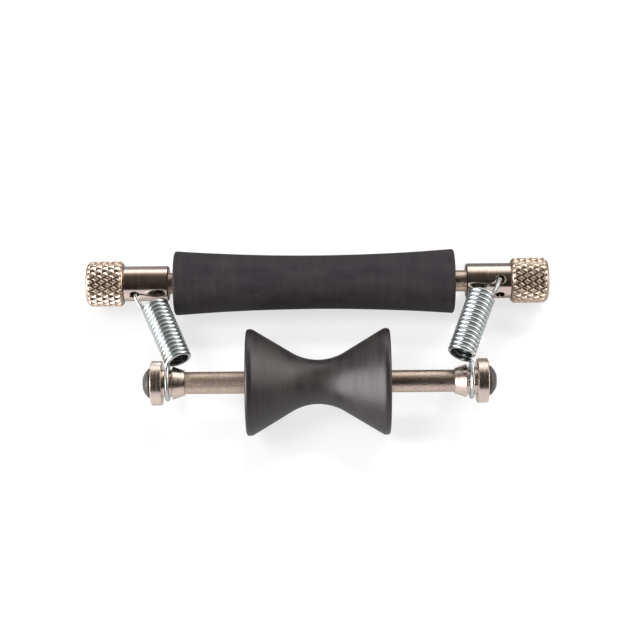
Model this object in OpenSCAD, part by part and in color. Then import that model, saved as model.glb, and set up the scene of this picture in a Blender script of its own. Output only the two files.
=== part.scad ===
// Hand grip strengthener: a palm bar and a thumb bar joined by two extension springs.
// The bars lie along X. The part rests on its roller's rims and its palm grip's ends.

/* [Palm bar] */
// Length of the rubber palm grip
grip_length = 101.4; // [80:0.2:130]
// Diameter of the palm grip at its two ends
grip_end_d = 23.6; // [21:0.2:28]
// Diameter of the palm grip at its waist
grip_waist_d = 19.6; // [16:0.2:20.6]
// Radius that rounds the rims of the palm grip
grip_rim_round = 0.9; // [0.3:0.1:1.5]
// End play of the palm grip between the two barrels
grip_play = 6.4; // [1:0.2:10]
// Share of the end play that lies to the left of the grip as it rests
grip_rest = 0.32; // [0.1:0.01:0.9]
// Diameter of the palm bar's plain rod
palm_rod_d = 7.7; // [7:0.1:9]

/* [Hook barrels] */
// Outer diameter of a barrel
barrel_d = 12.7; // [12:0.1:15]
// Length of a barrel
barrel_length = 16.4; // [14:0.1:20]
// Wall round the chamber that the spring's hook hangs in
barrel_wall = 1.5; // [1:0.1:1.6]
// Depth to which the rod seats in the barrel's inner end
barrel_seat = 5; // [3:0.2:6]
// Thickness of the web that is clamped against the rod's shoulder
barrel_web = 2; // [1.2:0.1:2.5]
// Chamfer round the barrel's two ends
barrel_chamfer = 0.4; // [0.1:0.1:0.8]
// Diameter of a hook hole
hook_hole_d = 3.2; // [2.4:0.1:3.6]
// Chamfer round the mouth of a hook hole
hook_hole_chamfer = 0.3; // [0.1:0.05:0.4]
// Distance from the barrel's outer face to the centre of its hook holes
hook_hole_inset = 4.2; // [3:0.1:5]
// Angle round the barrel between its two hook holes
hook_hole_step = 60; // [45:1:90]
// Angle of the left barrel's hooked hole, from the pull direction up towards the top
hook_angle_left = 22; // [0:1:60]
// Angle of the right barrel's hooked hole, from the pull direction up towards the top
hook_angle_right = 67; // [30:1:90]

/* [Knurled knobs] */
// Diameter over the knurl's points
knob_d = 16.4; // [14:0.1:20]
// Length of a knob
knob_length = 13.2; // [12:0.1:18]
// Depth of the knurl's grooves
knurl_depth = 0.7; // [0.3:0.05:0.8]
// Number of diamonds round the knob
knurl_count = 21; // [16:1:30]
// Angle of the knurl's grooves to the bar
knurl_angle = 30; // [25:1:45]
// Chamfer at the knob's inner end
knob_rim = 0.9; // [0.9:0.1:1.4]
// Chamfer at the knob's outer end
knob_chamfer = 1.5; // [0.9:0.1:2]
// Diameter of the threaded studs on the palm rod's ends
stud_d = 6; // [5:0.1:6]
// Depth to which a stud reaches into its knob
stud_reach = 8; // [5:0.2:10]

/* [Thumb bar] */
// Distance between the two bars' axes with the springs closed
axis_gap = 39.5; // [37:0.5:50]
// Diameter of the thumb bar's plain rod
thumb_rod_d = 7.9; // [7:0.1:8.1]
// Width of the hourglass roller
roller_width = 50.8; // [40:0.2:60]
// Diameter over the roller's rims
roller_d = 37.8; // [34:0.2:40]
// Diameter of the roller's waist
waist_d = 15.8; // [13:0.2:18]
// Radius of the arc across the roller's waist
waist_arc = 18; // [12:0.5:22]
// Width of the land round each of the roller's rims
rim_land = 2.1; // [1.6:0.1:3]
// Radius that rounds the outer corner of each rim
rim_round = 1; // [0.4:0.1:1.2]

/* [Spools] */
// Distance along the bars from a hook hole in to the middle of the spool's groove
spool_inset = 12.35; // [11.5:0.05:13.5]
// Sideways play that the thumb bar has taken up, to the right of the palm bar's middle
thumb_shift = 0.5; // [-0.8:0.1:0.8]
// Length of the spool's cone
cone_length = 4.2; // [3:0.1:6]
// Diameter of the cone's small end
cone_small_d = 8.9; // [8.7:0.1:9.5]
// Diameter of the cone's large end
cone_large_d = 11.6; // [10.8:0.1:13]
// Diameter of the neck that the spring's loop turns on
neck_d = 9.6; // [9.2:0.1:10]
// Width of the groove over the neck
neck_width = 3.6; // [3.2:0.1:5]
// Diameter of the spool's flange
flange_d = 15.8; // [14:0.1:18]
// Thickness of the spool's flange
flange_width = 4; // [3:0.1:5]
// Chamfer round the flange's edges
flange_chamfer = 0.35; // [0.1:0.05:0.8]
// Thickness of the web that the end screw clamps against the rod's end
spool_web = 2; // [1.2:0.1:2.4]

/* [End screws] */
// Diameter of the screw's domed head
head_d = 10.5; // [9:0.1:12]
// Height of the screw's domed head
head_height = 3.3; // [2.6:0.1:3.6]
// Straight edge under the dome
head_edge = 0.9; // [0.3:0.1:1.2]
// Size across the flats of the hex socket
socket_size = 4; // [3:0.1:5]
// Depth of the hex socket
socket_depth = 1.7; // [1:0.1:2]
// Diameter of the screw's shank
shank_d = 5; // [4:0.1:5.4]
// Length of the screw's shank
shank_length = 14; // [8:0.5:18]

/* [Springs] */
// Mean radius of the spring's coil
coil_r = 4.2; // [3.9:0.05:4.3]
// Distance from one turn of the coil to the next
coil_pitch = 1.65; // [1.62:0.01:1.7]
// Number of whole turns in the coil, before the part turns of its ends
coil_turns = 14; // [12:1:15]
// Diameter of the spring's wire
wire_d = 1.38; // [1:0.02:1.38]
// Mean radius of the loop that lies in the spool's groove
loop_r = 5.75; // [5.7:0.05:6]
// Distance along the pull from the thumb rod's axis to the end of the coil
coil_setback = 7; // [6.5:0.1:8]
// Sideways lean of the left coil, which puts its outer side over the hook and the loop
coil_lean_left = 22.5; // [19:0.5:24]
// Sideways lean of the right coil
coil_lean_right = 20.5; // [18:0.5:23]
// Upward slope of the left coil towards the thumb bar
coil_climb_left = 4; // [0:0.5:5]
// Upward slope of the right coil towards the thumb bar
coil_climb_right = -3; // [-5:0.5:0]
// Radius at which the wire bends out of the coil's end turns
wire_bend = 2; // [1.5:0.1:2.5]

/* [Clearances] */
// Running clearance on the radius, between a rod or stud and what turns on it
running_gap = 0.08; // [0.02:0.01:0.1]
// Seating clearance on the radius, between pieces that are clamped together
seat_gap = 0.05; // [0.02:0.01:0.1]
// End clearance between a knob and its barrel
knob_gap = 0.05; // [0.02:0.01:0.2]

/* [Hidden] */

$fn = 96;
eps = 0.01;

// Places along the palm bar, measured out from its middle
barrel_inner_x = (grip_length + grip_play) / 2;
grip_x = (grip_rest - 0.5) * grip_play;
shoulder_x = barrel_inner_x + barrel_seat;
chamber_x = shoulder_x + barrel_web;
barrel_outer_x = barrel_inner_x + barrel_length;
hook_x = barrel_outer_x - hook_hole_inset;
knob_x = barrel_outer_x + knob_gap;
stud_end_x = knob_x + stud_reach;
chamber_r = barrel_d / 2 - barrel_wall;
hook_r = (stud_d / 2 + chamber_r) / 2;
knurl_root_r = knob_d / 2 - knurl_depth;
knurl_band = knob_length - knob_rim - knob_chamfer;
knurl_pitch = PI * knob_d / knurl_count / tan(knurl_angle);
knob_well = stud_reach + 1;

// Places along the thumb bar, measured out from its middle
groove_x = hook_x - spool_inset;
spool_inner_x = groove_x - neck_width / 2 - cone_length;
flange_outer_x = groove_x + neck_width / 2 + flange_width;
thumb_rod_end_x = flange_outer_x - spool_web;

// How the two bars rest: the roller's rims and the grip's ends touch the same floor
rest_tilt = asin((roller_d - grip_end_d) / 2 / axis_gap);
rest_depth = axis_gap * cos(rest_tilt) + (roller_d + grip_end_d) / 2;
palm_y = rest_depth / 2 - grip_end_d / 2;

// The roller's straight flank runs from its rim to a tangent on the waist's arc
roller_bore_r = thumb_rod_d / 2 + running_gap;
arc_centre_r = waist_d / 2 + waist_arc;
flank_end_x = roller_width / 2 - rim_land;
flank_reach = norm([arc_centre_r - roller_d / 2, flank_end_x]);
flank_angle = asin(waist_arc / flank_reach) - atan2(arc_centre_r - roller_d / 2, flank_end_x);
flank_run_out = 5;

// The spring's wire
ring_sides = 6;
rings_per_turn = 8;
leg_rings = 6;
elbow_rings = 3;
loop_rings = 16;
loop_start = 80;
loop_sweep = 300;
end_phase = 45;
hook_lead = 1;
hook_tip = 1.8;
elbow_r = 1;
coil_sweep = 360 * (coil_turns + 1) - 2 * end_phase;
coil_length = coil_pitch * coil_sweep / 360;

rubber = [0.17, 0.16, 0.17];
nickel = [0.80, 0.74, 0.66];
knurled_nickel = [0.84, 0.77, 0.66];
zinc = [0.78, 0.81, 0.83];
dark_steel = [0.22, 0.20, 0.20];

// ---- Placing ----

// From the bars' own frame to the floor: the palm axis is X, and the thumb axis lies at -Y
module on_floor() {
    translate([0, palm_y, grip_end_d / 2]) rotate([-rest_tilt, 0, 0]) children();
}

module at_thumb_axis(shift = 0) {
    translate([shift, -axis_gap, 0]) children();
}

// Turns a shape built along +Z so that it points out along the bar, on side 1 or -1
module out_along(side, x = 0) {
    translate([side * x, 0, 0]) rotate([0, side * 90, 0]) children();
}

// ---- Shared shapes ----

// Cuts the corner of a profile at the origin of the quadrant to a round of radius r
module corner_round(r, flip = 1) {
    scale([1, flip]) difference() {
        translate([-r, -r]) square(r + eps);
        translate([-r, -r]) circle(r, $fn = 48);
    }
}

// A cylinder along Z whose ends may be chamfered
module chamfered_rod(r, length, low = 0, high = 0) {
    rotate_extrude() polygon([
        [0, 0], [r - low, 0], [r, low], [r, length - high], [r - high, length], [0, length]
    ]);
}

// ---- Palm bar ----

module palm_rod() {
    color(nickel) on_floor() {
        rotate([0, 90, 0]) cylinder(d = palm_rod_d, h = 2 * shoulder_x, center = true);
        for (side = [-1, 1])
            out_along(side, shoulder_x - eps)
                chamfered_rod(stud_d / 2, stud_end_x - shoulder_x + eps, high = 0.5);
    }
}

module palm_grip() {
    rise = (grip_end_d - grip_waist_d) / 2;
    arc_r = (pow(grip_length / 2, 2) + rise * rise) / (2 * rise);
    bore_r = palm_rod_d / 2 + running_gap;
    color(rubber) on_floor() translate([grip_x, 0, 0]) rotate([0, 90, 0]) rotate_extrude() difference() {
        translate([bore_r, -grip_length / 2]) square([grip_end_d / 2 - bore_r, grip_length]);
        translate([grip_waist_d / 2 + arc_r, 0]) circle(arc_r, $fn = 1440);
        for (flip = [-1, 1])
            translate([grip_end_d / 2, flip * grip_length / 2]) corner_round(grip_rim_round, flip);
    }
}

// A hollow collar: the rod seats in its inner end, a web is clamped by the stud, and the
// spring's hook hangs in the chamber behind the hook holes
module hook_barrel(side, hook_angle) {
    color(nickel) on_floor() difference() {
        out_along(side, barrel_inner_x)
            chamfered_rod(barrel_d / 2, barrel_length, barrel_chamfer, barrel_chamfer);
        out_along(side, barrel_inner_x - eps)
            cylinder(r = palm_rod_d / 2 + seat_gap, h = barrel_seat + eps);
        out_along(side, shoulder_x - eps)
            cylinder(r = stud_d / 2 + seat_gap, h = barrel_web + 2 * eps);
        out_along(side, chamber_x)
            cylinder(r = chamber_r, h = barrel_length);
        for (turn = [0, -hook_hole_step])
            translate([side * hook_x, 0, 0]) rotate([90 - hook_angle - turn, 0, 0]) {
                cylinder(d = hook_hole_d, h = barrel_d, $fn = 48);
                translate([0, 0, barrel_d / 2 - hook_hole_chamfer])
                    cylinder(d1 = hook_hole_d, d2 = hook_hole_d + 4 * hook_hole_chamfer,
                        h = 2 * hook_hole_chamfer, $fn = 48);
            }
    }
}

module hook_barrel_left() { hook_barrel(-1, hook_angle_left); }
module hook_barrel_right() { hook_barrel(1, hook_angle_right); }

// The knob's outside: a lattice of points that rise and fall in turn makes the diamonds, and
// plain rings at both ends make the chamfers that they run out in
module knurled_body() {
    columns = 2 * knurl_count;
    rows = round(2 * knurl_band / knurl_pitch);
    last = rows + 4;
    heights = concat(
        [0, knob_rim - knurl_depth],
        [for (row = [0:rows]) knob_rim + knurl_band * row / rows],
        [knob_length - knob_chamfer + knurl_depth, knob_length]
    );
    function ring_r(row, column) =
        row == 0 ? knob_d / 2 - knob_rim :
        row == last ? knob_d / 2 - knob_chamfer :
        row == 1 || row == last - 1 || (row + column) % 2 == 1 ? knurl_root_r : knob_d / 2;
    points = [
        for (row = [0:last], column = [0:columns - 1])
            let (r = ring_r(row, column), angle = 360 * column / columns)
            [r * cos(angle), r * sin(angle), heights[row]]
    ];
    sides = [
        for (row = [0:last - 1], column = [0:columns - 1])
            let (next = (column + 1) % columns)
            let (a = row * columns + column, b = row * columns + next)
            let (c = b + columns, d = a + columns)
            each (row + column) % 2 == 0 ? [[a, d, b], [b, d, c]] : [[a, c, b], [a, d, c]]
    ];
    base = [for (column = [0:columns - 1]) column];
    top = [for (column = [columns - 1:-1:0]) last * columns + column];
    polyhedron(points, concat(sides, [base, top]), convexity = 4);
}

module knob(side) {
    color(knurled_nickel) on_floor() out_along(side, knob_x) difference() {
        knurled_body();
        translate([0, 0, -eps]) cylinder(r = stud_d / 2 + running_gap, h = knob_well + eps);
    }
}

module knob_left() { knob(-1); }
module knob_right() { knob(1); }

// ---- Springs ----

function unit(v) = v / norm(v);
function square_to(v, axis) = unit(v - (v * axis) * axis);
function bezier(p, q, r, s, t) =
    pow(1 - t, 3) * p + 3 * t * pow(1 - t, 2) * q + 3 * t * t * (1 - t) * r + pow(t, 3) * s;

function coil_lean(side) = side < 0 ? coil_lean_left : coil_lean_right;

// The coil's own axes: along it towards the thumb bar, and out to its side
function coil_axis(side, climb) =
    let (lean = coil_lean(side))
    [-side * sin(lean), -cos(lean) * cos(climb), cos(lean) * sin(climb)];
function coil_side(side, climb) =
    let (lean = coil_lean(side))
    [side * cos(lean), -sin(lean) * cos(climb), sin(lean) * sin(climb)];

// Where the coil ends, so that the wire runs off it level with the top of the loop
function coil_end(side) = [
    thumb_shift + side * (groove_x - coil_r * cos(coil_lean(side))),
    -axis_gap + coil_setback,
    loop_r + side * (coil_r - wire_bend) * sin(end_phase)
];

function coil_point(side, climb, phase) =
    let (along = coil_axis(side, climb), out = coil_side(side, climb))
    coil_end(side) - along * coil_pitch * (end_phase + coil_sweep - phase) / 360
        + coil_r * (cos(phase) * out + sin(phase) * cross(along, out));

function coil_run(side, climb, phase) =
    let (along = coil_axis(side, climb), out = coil_side(side, climb))
    unit(along * coil_pitch / (2 * PI * coil_r)
        - sin(phase) * out + cos(phase) * cross(along, out));

function loop_point(side, angle) =
    [thumb_shift + side * groove_x, -axis_gap + loop_r * cos(angle), loop_r * sin(angle)];

// A point on the hooked hole's own line, at radius r from the palm rod's axis
function hole_point(side, hook_angle, r, inboard = 0) =
    [side * (hook_x - inboard), -r * cos(hook_angle), r * sin(hook_angle)];

function coil_path(side, climb) = [
    for (ring = [0:round(coil_sweep * rings_per_turn / 360)])
        coil_point(side, climb, end_phase + coil_sweep * ring / round(coil_sweep * rings_per_turn / 360))
];

// From the coil's first turn up to the barrel, in through the hole and along the chamber
function hook_path(side, climb, hook_angle) =
    let (from = coil_point(side, climb, end_phase), run = -coil_run(side, climb, end_phase))
    let (mouth = hole_point(side, hook_angle, barrel_d / 2 + hook_lead))
    let (inward = unit(hole_point(side, hook_angle, 0) - mouth))
    concat(
        [for (ring = [1:leg_rings])
            bezier(from, from + run * wire_bend, mouth - inward * wire_bend, mouth, ring / leg_rings)],
        [for (ring = [0:elbow_rings])
            let (bend = 90 * ring / elbow_rings)
            hole_point(side, hook_angle, hook_r + elbow_r * (1 - sin(bend)), elbow_r * (1 - cos(bend)))],
        [hole_point(side, hook_angle, hook_r, elbow_r + hook_tip)]
    );

// From the coil's last turn down to the spool and round its groove
function loop_path(side, climb) =
    let (phase = end_phase + coil_sweep)
    let (from = coil_point(side, climb, phase), run = coil_run(side, climb, phase))
    let (onto = loop_point(side, loop_start))
    let (into = unit(loop_point(side, loop_start + 1) - onto))
    concat(
        [for (ring = [1:leg_rings])
            bezier(from, from + run * wire_bend, onto - into * wire_bend, onto, ring / leg_rings)],
        [for (ring = [1:loop_rings]) loop_point(side, loop_start + loop_sweep * ring / loop_rings)]
    );

function reversed(list) = [for (i = [len(list) - 1:-1:0]) list[i]];

function runs(path) = [
    for (i = [0:len(path) - 1])
        unit(path[min(i + 1, len(path) - 1)] - path[max(i - 1, 0)])
];

// Carries a side direction along the wire without twisting it
function carried(path_runs, first, i = 0) =
    i == len(path_runs) ? [] :
    let (next = square_to(first, path_runs[i])) concat([next], carried(path_runs, next, i + 1));

// The wire's rings of points, from the hook's tip to the loop's end
function wire_rings(side, climb, hook_angle) =
    let (coil = coil_path(side, climb))
    let (path = concat(reversed(hook_path(side, climb, hook_angle)), coil, loop_path(side, climb)))
    let (along = runs(path), hook_count = len(hook_path(side, climb, hook_angle)))
    let (last_coil = hook_count + len(coil) - 1)
    let (axis = coil_axis(side, climb))
    let (coil_sides = [
        for (i = [hook_count:last_coil])
            square_to(cross(axis, along[i]), along[i])
    ])
    let (hook_sides = reversed(carried(
        [for (i = [hook_count - 1:-1:0]) along[i]], coil_sides[0])))
    let (loop_sides = carried(
        [for (i = [last_coil + 1:len(path) - 1]) along[i]], coil_sides[len(coil_sides) - 1]))
    let (sides = concat(hook_sides, coil_sides, loop_sides))
    [for (i = [0:len(path) - 1])
        [for (corner = [0:ring_sides - 1])
            let (angle = 360 * corner / ring_sides)
            path[i] + wire_d / 2 * (cos(angle) * sides[i] + sin(angle) * cross(along[i], sides[i]))]];

// The least distance between points of the wire that lie over half a turn apart along it
function ring_gap(a, b) = min([for (p = a, q = b) norm(p - q)]);
function least_gap(rings) =
    let (reach = rings_per_turn / 2, near = 4 * wire_d)
    min([
        for (i = [0:len(rings) - 1 - reach], j = [i + reach:len(rings) - 1])
            if (norm(rings[i][0] - rings[j][0]) < near) ring_gap(rings[i], rings[j])
    ]);

module spring(side, climb, hook_angle, name) {
    rings = wire_rings(side, climb, hook_angle);
    last = len(rings) - 1;
    skin = [
        for (i = [0:last - 1], corner = [0:ring_sides - 1])
            let (next = (corner + 1) % ring_sides)
            let (a = i * ring_sides + corner, b = i * ring_sides + next)
            each [[a, b, b + ring_sides], [a, b + ring_sides, a + ring_sides]]
    ];
    start_cap = [for (corner = [2:ring_sides - 1]) [0, corner, corner - 1]];
    end_cap = [
        for (corner = [2:ring_sides - 1])
            [last * ring_sides, last * ring_sides + corner - 1, last * ring_sides + corner]
    ];
    echo(str(name, ": least gap of the wire to itself, mm"), least_gap(rings));
    color(zinc) on_floor()
        polyhedron([for (ring = rings) each ring], concat(skin, start_cap, end_cap), convexity = 8);
}

module spring_left() { spring(-1, coil_climb_left, hook_angle_left, "spring_left"); }
module spring_right() { spring(1, coil_climb_right, hook_angle_right, "spring_right"); }

// ---- Thumb bar ----

module thumb_rod() {
    color(nickel) on_floor() at_thumb_axis(thumb_shift) difference() {
        rotate([0, 90, 0]) cylinder(d = thumb_rod_d, h = 2 * thumb_rod_end_x, center = true);
        for (side = [-1, 1])
            out_along(side, thumb_rod_end_x - shank_length)
                cylinder(r = shank_d / 2 + seat_gap, h = shank_length + eps);
    }
}

module thumb_roller() {
    tangent_r = arc_centre_r - waist_arc * cos(flank_angle);
    tangent_x = waist_arc * sin(flank_angle);
    mouth_r = roller_d / 2 + flank_run_out;
    mouth_x = flank_end_x + flank_run_out / tan(flank_angle);
    color(rubber) on_floor() at_thumb_axis() rotate([0, 90, 0]) rotate_extrude() difference() {
        translate([roller_bore_r, -roller_width / 2])
            square([roller_d / 2 - roller_bore_r, roller_width]);
        translate([arc_centre_r, 0]) circle(waist_arc, $fn = 180);
        polygon([
            [tangent_r, tangent_x], [mouth_r, mouth_x], [mouth_r, -mouth_x], [tangent_r, -tangent_x]
        ]);
        for (flip = [-1, 1])
            translate([roller_d / 2, flip * roller_width / 2]) corner_round(rim_round, flip);
    }
}

// A turned collar: a cone faces the roller, the spring's loop turns in the groove, and the
// flange keeps it on
module spool(side) {
    neck_start = cone_length;
    neck_end = neck_start + neck_width;
    spool_length = neck_end + flange_width;
    color(nickel) on_floor() at_thumb_axis(thumb_shift) out_along(side, spool_inner_x) difference() {
        rotate_extrude() polygon([
            [0, 0], [cone_small_d / 2, 0],
            [cone_large_d / 2, neck_start - flange_chamfer],
            [cone_large_d / 2, neck_start], [neck_d / 2, neck_start + flange_chamfer],
            [neck_d / 2, neck_end], [flange_d / 2 - flange_chamfer, neck_end],
            [flange_d / 2, neck_end + flange_chamfer],
            [flange_d / 2, spool_length - flange_chamfer],
            [flange_d / 2 - flange_chamfer, spool_length], [0, spool_length]
        ]);
        translate([0, 0, -eps])
            cylinder(r = thumb_rod_d / 2 + seat_gap, h = spool_length - spool_web + eps);
        cylinder(r = shank_d / 2 + seat_gap, h = spool_length + eps);
    }
}

module spool_left() { spool(-1); }
module spool_right() { spool(1); }

module end_screw(side) {
    dome_rise = head_height - head_edge;
    dome_r = (pow(head_d / 2, 2) + dome_rise * dome_rise) / (2 * dome_rise);
    grip_shank = shank_length + spool_web - 1;
    color(dark_steel) on_floor() at_thumb_axis(thumb_shift) out_along(side, flange_outer_x) {
        difference() {
            intersection() {
                cylinder(d = head_d, h = head_height);
                translate([0, 0, head_height - dome_r]) sphere(dome_r, $fn = 120);
            }
            translate([0, 0, head_height - socket_depth])
                cylinder(d = socket_size / cos(30), h = socket_depth + eps, $fn = 6);
        }
        translate([0, 0, -grip_shank]) chamfered_rod(shank_d / 2, grip_shank + eps, low = 0.5);
    }
}

module end_screw_left() { end_screw(-1); }
module end_screw_right() { end_screw(1); }

palm_rod();
palm_grip();
hook_barrel_left();
hook_barrel_right();
knob_left();
knob_right();
spring_left();
spring_right();
thumb_rod();
thumb_roller();
spool_left();
spool_right();
end_screw_left();
end_screw_right();
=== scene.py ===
"""Dresses the hand grip strengthener: rubber, nickel, zinc springs and a pale studio."""

import math

import bpy
from bpy.props import FloatProperty, FloatVectorProperty, IntProperty, PointerProperty
from mathutils import Matrix, Vector, noise


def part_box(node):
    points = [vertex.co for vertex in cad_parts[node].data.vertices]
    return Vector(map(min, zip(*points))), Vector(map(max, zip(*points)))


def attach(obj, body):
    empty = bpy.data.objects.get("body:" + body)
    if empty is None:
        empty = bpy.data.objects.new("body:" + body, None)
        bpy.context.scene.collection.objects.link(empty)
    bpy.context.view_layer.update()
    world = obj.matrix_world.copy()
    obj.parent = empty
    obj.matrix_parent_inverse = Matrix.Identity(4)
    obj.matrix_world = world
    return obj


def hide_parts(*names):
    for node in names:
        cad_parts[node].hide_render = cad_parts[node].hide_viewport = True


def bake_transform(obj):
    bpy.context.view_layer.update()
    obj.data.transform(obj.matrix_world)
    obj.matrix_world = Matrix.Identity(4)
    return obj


bl_info = {
    "name": "Hand Grip Strengthener",
    "version": (1, 0, 0),
    "blender": (4, 5, 0),
    "location": "View3D > Sidebar > Grip",
    "description": "Builds the dressed pieces of a hand grip strengthener round its packed frame",
    "category": "Object",
}

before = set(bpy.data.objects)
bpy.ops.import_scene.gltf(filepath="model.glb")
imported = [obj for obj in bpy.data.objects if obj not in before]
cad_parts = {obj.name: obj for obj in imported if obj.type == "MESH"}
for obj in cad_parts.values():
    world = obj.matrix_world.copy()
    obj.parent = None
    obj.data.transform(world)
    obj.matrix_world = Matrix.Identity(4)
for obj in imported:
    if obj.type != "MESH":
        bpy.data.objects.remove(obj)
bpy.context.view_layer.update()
MM = 0.001
MICRON = 0.001 * MM


def node_box(node):
    """Lowest corner, highest corner and size of a node, in metres."""
    low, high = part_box(node)
    return low, high, high - low


def centre_of(node):
    low, high, _ = node_box(node)
    return (low + high) / 2


# The bars' own frame: X along the palm rod, Y away from the thumb rod, Z up from both.
PALM_AXIS = centre_of("palm_rod")
THUMB_AXIS = centre_of("thumb_roller")
AXIS_GAP = math.hypot(PALM_AXIS.y - THUMB_AXIS.y, THUMB_AXIS.z - PALM_AXIS.z)
REST_TILT = math.atan2(THUMB_AXIS.z - PALM_AXIS.z, PALM_AXIS.y - THUMB_AXIS.y)
BAR_FRAME = Matrix.Translation(PALM_AXIS) @ Matrix.Rotation(-REST_TILT, 4, "X")
GRIP_SHIFT = centre_of("palm_grip").x - PALM_AXIS.x
ROLLER_SHIFT = THUMB_AXIS.x - PALM_AXIS.x
THUMB_SHIFT = centre_of("thumb_rod").x - PALM_AXIS.x


# ---- Sizes and colours that a user would change ----


def length_prop(name, description, default_mm):
    return FloatProperty(
        name=name, description=description, default=default_mm * MM, min=0.0,
        unit="LENGTH", subtype="DISTANCE", precision=5)


def colour_prop(name, description, default):
    return FloatVectorProperty(
        name=name, description=description, default=default, size=3, min=0.0, max=1.0,
        subtype="COLOR")


def level_prop(name, description, default):
    return FloatProperty(name=name, description=description, default=default, min=0.0)


class GripSettings(bpy.types.PropertyGroup):
    """The rubber palm grip."""
    waist_diameter: length_prop("Waist diameter", "Diameter of the grip at its middle", 19.6)
    rim_round: length_prop("Rim rounding", "Radius that rounds the grip's two rims", 0.9)
    bore_chamfer: length_prop("Bore chamfer", "Chamfer where the rod enters the grip", 0.5)
    rubber: colour_prop("Rubber", "Colour of the moulded rubber", (0.0275, 0.023, 0.027))
    dust: colour_prop("Dust", "Colour of the dust on the rubber", (0.105, 0.098, 0.098))


class RollerSettings(bpy.types.PropertyGroup):
    """The hourglass thumb roller."""
    waist_diameter: length_prop("Waist diameter", "Diameter of the roller at its waist", 15.8)
    waist_arc: length_prop("Waist arc", "Radius of the arc across the waist", 18.0)
    rim_land: length_prop("Rim land", "Width of the flat land round each rim", 2.1)
    rim_round: length_prop("Rim rounding", "Radius that rounds each rim's outer corner", 1.0)
    rubber: colour_prop("Rubber", "Colour of the moulded rubber", (0.013, 0.010, 0.013))
    bloom: colour_prop("Bloom", "Colour of the bloom on the rubber", (0.043, 0.036, 0.034))


class KnobSettings(bpy.types.PropertyGroup):
    """The two knurled knobs."""
    knurl_depth: length_prop("Knurl depth", "Depth of the knurl's grooves", 0.7)
    knurl_count: IntProperty(
        name="Diamonds round", description="Number of diamonds round the knob",
        default=21, min=8, max=60)
    knurl_angle: FloatProperty(
        name="Knurl angle", description="Angle of the knurl's grooves to the bar",
        default=math.radians(30), min=0.3, max=1.2, subtype="ANGLE", unit="ROTATION")
    inner_chamfer: length_prop("Inner chamfer", "Chamfer at the end beside the barrel", 0.9)
    outer_chamfer: length_prop("Outer chamfer", "Chamfer at the free end", 1.5)
    crest_wear: FloatProperty(
        name="Crest wear", description="Share of each diamond's height that is worn flat",
        default=0.36, min=0.0, max=0.6, subtype="FACTOR")
    nickel: colour_prop("Nickel", "Colour of the nickel plate", (0.755, 0.61, 0.485))


class SpringSettings(bpy.types.PropertyGroup):
    """The two close-wound extension springs."""
    wire: length_prop("Wire", "Diameter of the wire", 1.58)
    coil_radius: length_prop("Coil radius", "Mean radius of the coil", 4.2)
    pitch: length_prop("Pitch", "Distance from one turn to the next", 1.65)
    turns: IntProperty(
        name="Turns", description="Whole turns in the coil, before the part turns of its ends",
        default=14, min=3, max=30)
    zinc: colour_prop("Zinc", "Colour of the zinc plate", (0.62, 0.665, 0.665))


class MetalSettings(bpy.types.PropertyGroup):
    """The rods, barrels, spools and end screws."""
    rod: colour_prop("Rod nickel", "Colour of the rods' satin plate", (0.74, 0.59, 0.485))
    barrel: colour_prop(
        "Barrel nickel", "Colour of the barrels' bright plate", (0.84, 0.705, 0.62))
    screw: colour_prop("Screw", "Colour of the blackened end screws", (0.050, 0.041, 0.039))


class StudioSettings(bpy.types.PropertyGroup):
    """The floor, the light and the camera."""
    distance: length_prop("Camera distance", "Distance from camera to what it looks at", 610.9)
    elevation: FloatProperty(
        name="Camera elevation", description="Angle of the camera above the floor",
        default=math.radians(74.9), subtype="ANGLE", unit="ROTATION")
    roll: FloatProperty(
        name="Camera roll", description="Turn of the camera about its own line of sight",
        default=math.radians(-0.516), subtype="ANGLE", unit="ROTATION")
    lens: FloatProperty(
        name="Lens", description="Focal length of the camera, in millimetres",
        default=95.5, min=20.0, max=300.0)
    floor: colour_prop("Floor", "Colour of the floor", (0.44, 0.44, 0.44))
    overhead: colour_prop(
        "Overhead", "Colour of the dim ceiling that metal reflects", (0.064, 0.058, 0.051))
    haze: colour_prop(
        "Haze", "Colour of the ceiling's edge above the back wall", (0.26, 0.205, 0.165))
    floor_glow: level_prop("Floor glow", "Light that the camera sees added to the floor", 0.62)
    mirrored_glow: level_prop("Mirrored glow", "Light that metal sees added to the floor", 0.22)
    bounced_glow: level_prop("Bounced glow", "Light that the floor sends to dull pieces", 0.14)
    left_box: level_prop("Left box", "Light of the left soft box, as mirrored", 6.0)
    low_box: level_prop("Low box", "Light of the low box on the left, as mirrored", 0.7)
    right_box: level_prop("Right box", "Light of the right soft box, as mirrored", 2.8)
    left_key: level_prop("Left key", "Strength of the soft light from the upper left", 0.8)
    right_key: level_prop("Right key", "Strength of the soft light from behind, right", 0.9)
    back_key: level_prop("Back key", "Strength of the small light from high behind", 0.9)
    fill: level_prop("Fill", "Light from all round", 0.16)
    top_fill: level_prop("Top fill", "Light from overhead", 0.2)
    side_fill: level_prop("Side fill", "Light from the front left", 1.1)


SETTINGS = {
    "grip_sleeve": GripSettings,
    "grip_roller": RollerSettings,
    "grip_knobs": KnobSettings,
    "grip_springs": SpringSettings,
    "grip_metal": MetalSettings,
    "grip_studio": StudioSettings,
}


# ---- Meshes ----

BORE_PLAY = 0.08 * MM       # gap between a rubber piece and the rod in it
TURNED_SIDES = 192
WAVES_ALONG, WAVES_ROUND = 60, 1.3      # how close the slight unevenness of the rubber lies


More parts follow.
